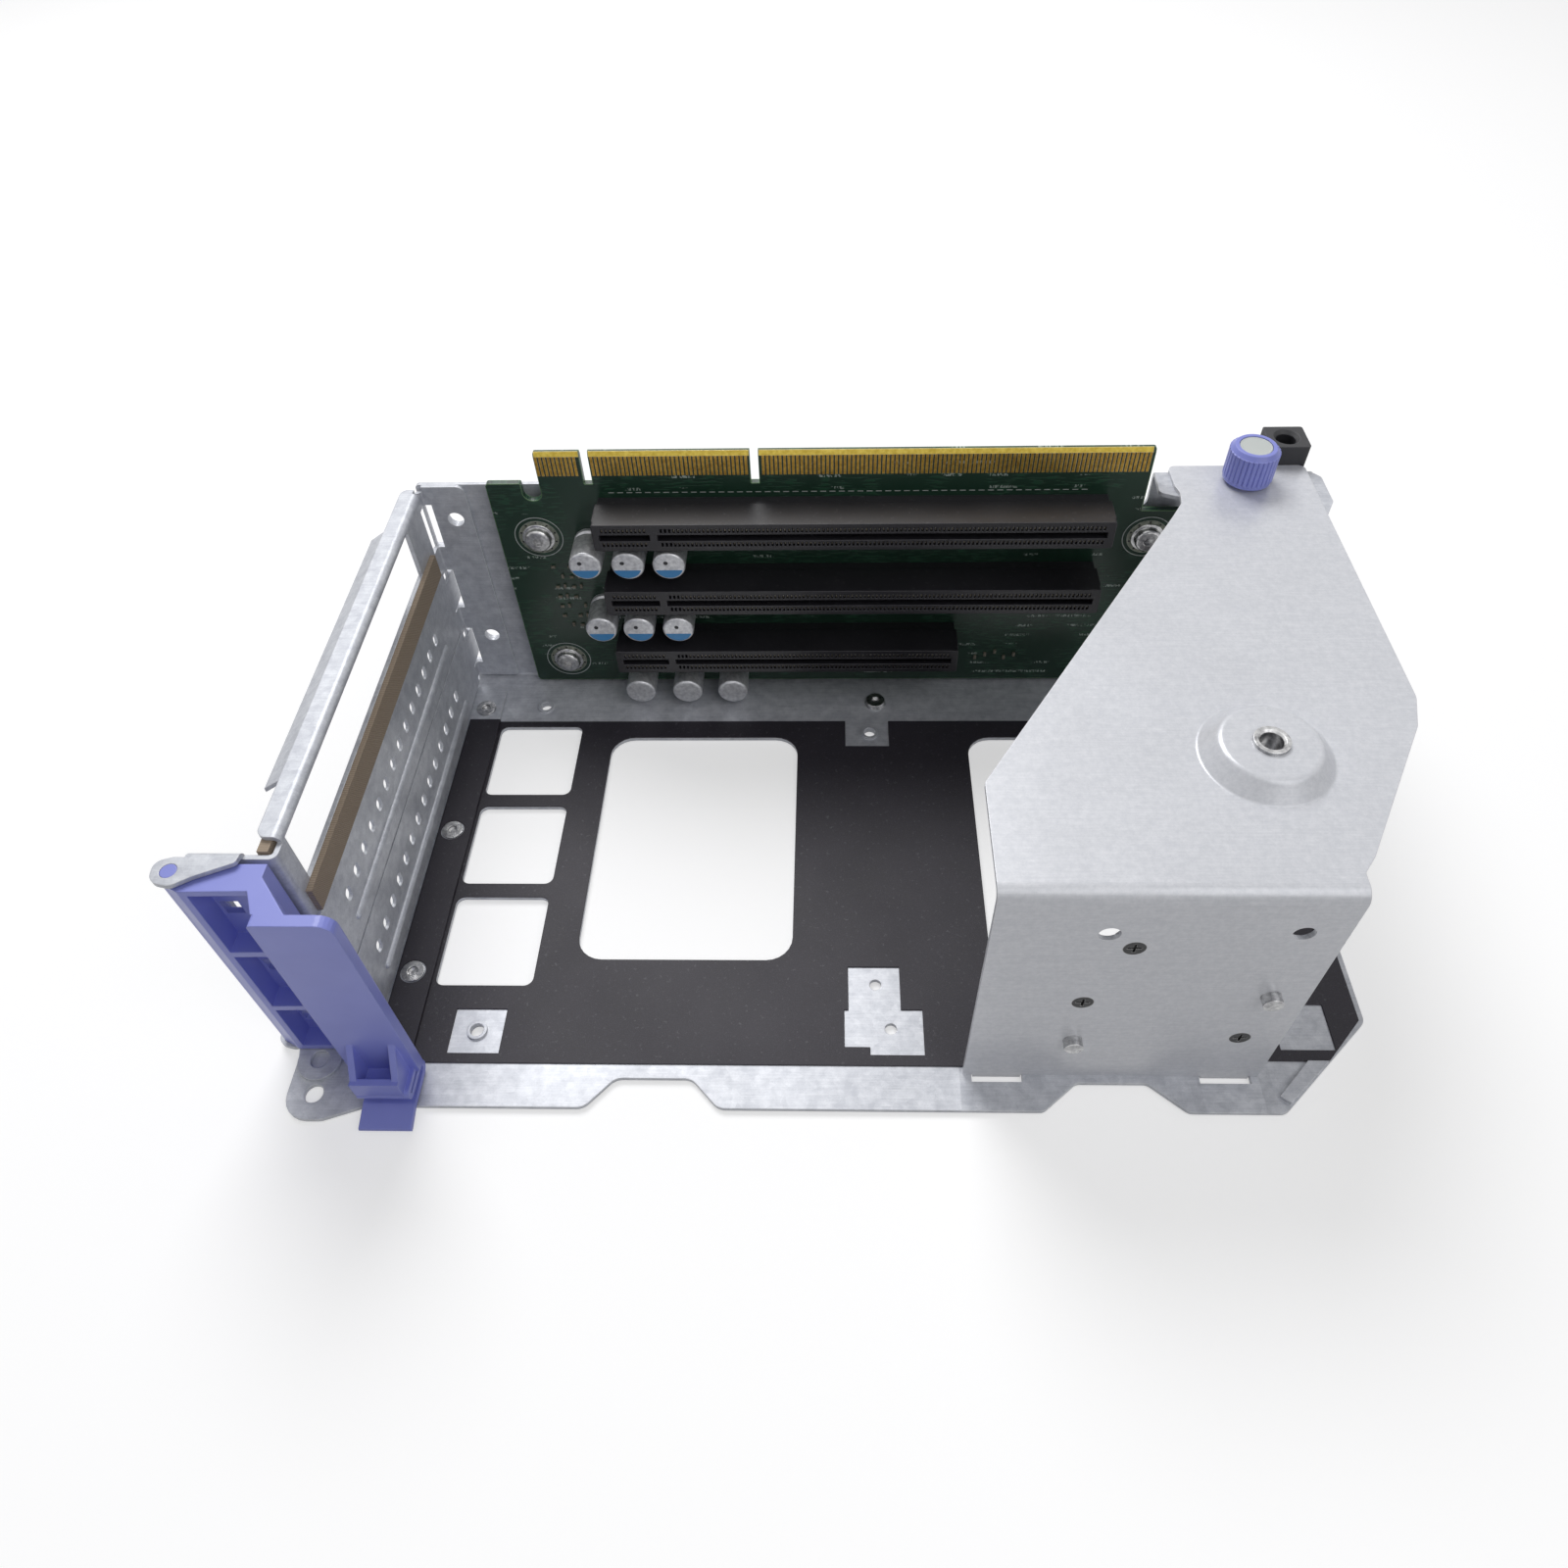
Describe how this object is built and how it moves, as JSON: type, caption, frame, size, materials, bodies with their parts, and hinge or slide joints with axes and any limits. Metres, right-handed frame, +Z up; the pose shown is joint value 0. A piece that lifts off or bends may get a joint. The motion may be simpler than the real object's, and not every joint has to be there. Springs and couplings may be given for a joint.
{
  "type": "riser cage bracket",
  "caption": "Folded steel cage for server expansion cards: riser board with card connectors, slot wall with blank fillers, hinged card latch and screwed end bracket.",
  "frame": {"origin": "On the underside of the tray, straight under the first end of the board's card edge, in the plane of the board's front face.", "axes": "X runs along the board away from the slot wall, Y runs back through the board, Z is up, away from the tray."},
  "size_m": [0.2354, 0.1422, 0.0777],
  "materials": {
    "bright_sheet": "galvanised",
    "bracket_sheet": "galvanised",
    "bright_hardware": "plated",
    "black_hardware": "satin",
    "black_film": "matte",
    "brown_gasket": "matte",
    "green_board": "satin",
    "gold_plating": "polished",
    "black_plastic": "matte",
    "black_block": "matte",
    "capacitor_can": "satin",
    "chip_ceramic": "matte",
    "blue_plastic": "satin"
  },
  "bodies": {
    "cage": {"tray": "bright_sheet", "insulating_film": "black_film", "slot_wall": "bright_sheet", "filler_middle": "bright_sheet", "filler_lower": "bright_sheet", "slot_gaskets": "brown_gasket", "tray_rivets": "bright_hardware", "riser_board": "green_board", "gold_contacts": "gold_plating", "connector_upper": "black_plastic", "connector_middle": "black_plastic", "connector_lower": "black_plastic", "capacitors_upper": "capacitor_can", "capacitors_middle": "capacitor_can", "capacitors_lower": "capacitor_can", "chip_parts": "chip_ceramic", "board_screws": "bright_hardware", "board_standoffs": "bright_hardware", "end_bracket": "bracket_sheet", "boss_insert": "bright_hardware", "bracket_screws": "black_hardware", "bracket_nuts": "bright_hardware", "bracket_studs": "bright_hardware", "thumbscrew_ferrule": "bright_hardware", "clinch_nut": "bright_hardware", "alignment_block": "black_block", "floor_screw": "bright_hardware"},
    "thumbscrew": {"thumbscrew_knob": "blue_plastic", "thumbscrew_shank": "bright_hardware"},
    "latch": {"release_latch": "blue_plastic"}
  },
  "joints": [
    {"name": "latch_hinge", "type": "hinge", "parent": "cage", "child": "latch", "pos_m": [-0.0478, -0.1086, 0.0325], "axis": [0, 0, 1], "range_deg": [-90, 0]},
    {"name": "thumbscrew_turn", "type": "hinge", "parent": "cage", "child": "thumbscrew", "pos_m": [0.1652, -0.0015, 0.068], "axis": [0, 0, 1], "continuous": true}
  ]
}
